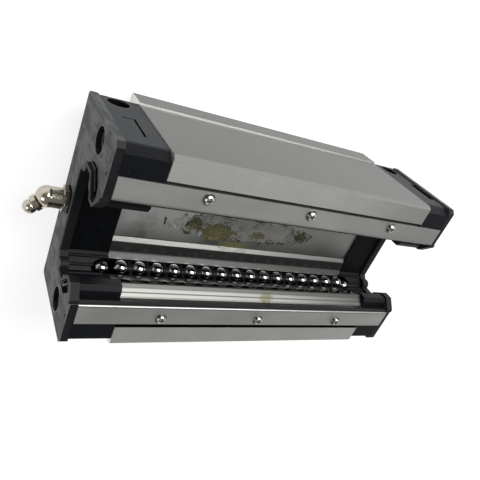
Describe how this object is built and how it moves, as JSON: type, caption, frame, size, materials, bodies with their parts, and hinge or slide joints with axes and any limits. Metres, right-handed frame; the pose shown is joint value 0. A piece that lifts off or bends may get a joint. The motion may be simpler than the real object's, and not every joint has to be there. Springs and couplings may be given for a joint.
{
  "type": "linear guide carriage",
  "caption": "Narrow, long caged-ball linear guide carriage with end plates, wiping seals, bottom seal strips and an elbow grease nipple.",
  "frame": {"origin": "centre of the mounting face, midway between the four mounting holes; the part stands upside down on that face", "axes": "+X along the rail, away from the grease nipple; +Z from the mounting face towards the rail side; +Y towards the datum side"},
  "size_m": [0.219, 0.1, 0.0681],
  "materials": {
    "ground_steel": "matte ground",
    "strip_steel": "satin",
    "black_plastic": "fine moulded grain",
    "guide_plastic": "smooth",
    "seal_plate": "satin",
    "seal_rubber": "matte",
    "dark_screw": "black oxide",
    "bright_screw": "bright zinc",
    "retainer_plastic": "polished",
    "nickel_plate": "bright nickel",
    "ball_steel": "polished",
    "spring_steel": "drawn wire",
    "cage_plastic": "smooth"
  },
  "bodies": {
    "carriage": {"carriage_block": "ground_steel", "end_plate_near": "black_plastic", "end_plate_far": "black_plastic", "ball_guides_near": "guide_plastic", "ball_guides_far": "guide_plastic", "end_seal_near": "seal_plate", "end_seal_far": "seal_plate", "end_seal_lip_near": "seal_rubber", "end_seal_lip_far": "seal_rubber", "end_screws_near": "dark_screw", "end_screws_far": "dark_screw", "bottom_strip_left": "strip_steel", "bottom_strip_right": "strip_steel", "bottom_lip_left": "seal_rubber", "bottom_lip_right": "seal_rubber", "strip_screws_left": "bright_screw", "strip_screws_right": "bright_screw", "retainer_left": "retainer_plastic", "retainer_right": "retainer_plastic", "return_tube_web_left": "guide_plastic", "return_tube_lip_left": "guide_plastic", "return_tube_web_right": "guide_plastic", "return_tube_lip_right": "guide_plastic", "nipple_body": "nickel_plate", "nipple_spring": "spring_steel"},
    "check_ball": {"nipple_check_ball": "ball_steel"},
    "web_left_load": {"balls_web_left_load": "ball_steel", "cage_web_left_load": "cage_plastic"},
    "web_left_far_turn": {"balls_web_left_far_turn": "ball_steel", "cage_web_left_far_turn": "cage_plastic"},
    "web_left_return": {"balls_web_left_return": "ball_steel", "cage_web_left_return": "cage_plastic"},
    "web_left_near_turn": {"balls_web_left_near_turn": "ball_steel", "cage_web_left_near_turn": "cage_plastic"},
    "web_right_load": {"balls_web_right_load": "ball_steel", "cage_web_right_load": "cage_plastic"},
    "web_right_far_turn": {"balls_web_right_far_turn": "ball_steel", "cage_web_right_far_turn": "cage_plastic"},
    "web_right_return": {"balls_web_right_return": "ball_steel", "cage_web_right_return": "cage_plastic"},
    "web_right_near_turn": {"balls_web_right_near_turn": "ball_steel", "cage_web_right_near_turn": "cage_plastic"},
    "lip_left_load": {"balls_lip_left_load": "ball_steel", "cage_lip_left_load": "cage_plastic"},
    "lip_left_far_turn": {"balls_lip_left_far_turn": "ball_steel", "cage_lip_left_far_turn": "cage_plastic"},
    "lip_left_return": {"balls_lip_left_return": "ball_steel", "cage_lip_left_return": "cage_plastic"},
    "lip_left_near_turn": {"balls_lip_left_near_turn": "ball_steel", "cage_lip_left_near_turn": "cage_plastic"},
    "lip_right_load": {"balls_lip_right_load": "ball_steel", "cage_lip_right_load": "cage_plastic"},
    "lip_right_far_turn": {"balls_lip_right_far_turn": "ball_steel", "cage_lip_right_far_turn": "cage_plastic"},
    "lip_right_return": {"balls_lip_right_return": "ball_steel", "cage_lip_right_return": "cage_plastic"},
    "lip_right_near_turn": {"balls_lip_right_near_turn": "ball_steel", "cage_lip_right_near_turn": "cage_plastic"}
  },
  "joints": [
    {"name": "web_left_load_run", "type": "slide", "parent": "carriage", "child": "web_left_load", "axis": [1, 0, 0], "range_m": [-0.003, 0.003]},
    {"name": "web_left_return_run", "type": "slide", "parent": "carriage", "child": "web_left_return", "axis": [1, 0, 0], "range_m": [-0.003, 0.003]},
    {"name": "web_left_far_turn_run", "type": "hinge", "parent": "carriage", "child": "web_left_far_turn", "pos_m": [0.077, 0.03214, 0.03401], "axis": [0, 0.3896, 0.921], "range_deg": [-28.06, 28.06]},
    {"name": "web_left_near_turn_run", "type": "hinge", "parent": "carriage", "child": "web_left_near_turn", "pos_m": [-0.077, 0.03214, 0.03401], "axis": [0, 0.3896, 0.921], "range_deg": [-28.06, 28.06]},
    {"name": "web_right_load_run", "type": "slide", "parent": "carriage", "child": "web_right_load", "axis": [1, 0, 0], "range_m": [-0.0045, 0.0015]},
    {"name": "web_right_return_run", "type": "slide", "parent": "carriage", "child": "web_right_return", "axis": [1, 0, 0], "range_m": [-0.0015, 0.0045]},
    {"name": "web_right_far_turn_run", "type": "hinge", "parent": "carriage", "child": "web_right_far_turn", "pos_m": [0.077, -0.03214, 0.03401], "axis": [0, 0.3896, -0.921], "range_deg": [-42.09, 14.04]},
    {"name": "web_right_near_turn_run", "type": "hinge", "parent": "carriage", "child": "web_right_near_turn", "pos_m": [-0.077, -0.03214, 0.03401], "axis": [0, 0.3896, -0.921], "range_deg": [-42.09, 14.04]},
    {"name": "lip_left_load_run", "type": "slide", "parent": "carriage", "child": "lip_left_load", "axis": [1, 0, 0], "range_m": [-0.003, 0.003]},
    {"name": "lip_left_return_run", "type": "slide", "parent": "carriage", "child": "lip_left_return", "axis": [1, 0, 0], "range_m": [-0.003, 0.003]},
    {"name": "lip_left_far_turn_run", "type": "hinge", "parent": "carriage", "child": "lip_left_far_turn", "pos_m": [0.077, 0.03141, 0.05317], "axis": [0, -0.1908, 0.9816], "range_deg": [-28.06, 28.06]},
    {"name": "lip_left_near_turn_run", "type": "hinge", "parent": "carriage", "child": "lip_left_near_turn", "pos_m": [-0.077, 0.03141, 0.05317], "axis": [0, -0.1908, 0.9816], "range_deg": [-28.06, 28.06]},
    {"name": "lip_right_load_run", "type": "slide", "parent": "carriage", "child": "lip_right_load", "axis": [1, 0, 0], "range_m": [-0.003, 0.003]},
    {"name": "lip_right_return_run", "type": "slide", "parent": "carriage", "child": "lip_right_return", "axis": [1, 0, 0], "range_m": [-0.003, 0.003]},
    {"name": "lip_right_far_turn_run", "type": "hinge", "parent": "carriage", "child": "lip_right_far_turn", "pos_m": [0.077, -0.03141, 0.05317], "axis": [0, -0.1908, -0.9816], "range_deg": [-28.06, 28.06]},
    {"name": "lip_right_near_turn_run", "type": "hinge", "parent": "carriage", "child": "lip_right_near_turn", "pos_m": [-0.077, -0.03141, 0.05317], "axis": [0, -0.1908, -0.9816], "range_deg": [-28.06, 28.06]},
    {"name": "check_ball_lift", "type": "slide", "parent": "carriage", "child": "check_ball", "axis": [0.7071, 0.7071, 0], "range_m": [0, 0.0012], "stiffness_N_per_m": 400, "springref_m": -0.0005, "deforming": ["nipple_spring"]}
  ],
  "couplings": [
    {"joint": "web_left_return_run", "follows": "web_left_load_run", "ratio": -1},
    {"joint": "web_left_far_turn_run", "follows": "web_left_load_run", "rad_per_m": 163.2},
    {"joint": "web_left_near_turn_run", "follows": "web_left_load_run", "rad_per_m": 163.2},
    {"joint": "web_right_return_run", "follows": "web_right_load_run", "ratio": -1},
    {"joint": "web_right_far_turn_run", "follows": "web_right_load_run", "rad_per_m": 163.2},
    {"joint": "web_right_near_turn_run", "follows": "web_right_load_run", "rad_per_m": 163.2},
    {"joint": "lip_left_return_run", "follows": "lip_left_load_run", "ratio": -1},
    {"joint": "lip_left_far_turn_run", "follows": "lip_left_load_run", "rad_per_m": 163.2},
    {"joint": "lip_left_near_turn_run", "follows": "lip_left_load_run", "rad_per_m": 163.2},
    {"joint": "lip_right_return_run", "follows": "lip_right_load_run", "ratio": -1},
    {"joint": "lip_right_far_turn_run", "follows": "lip_right_load_run", "rad_per_m": 163.2},
    {"joint": "lip_right_near_turn_run", "follows": "lip_right_load_run", "rad_per_m": 163.2}
  ]
}
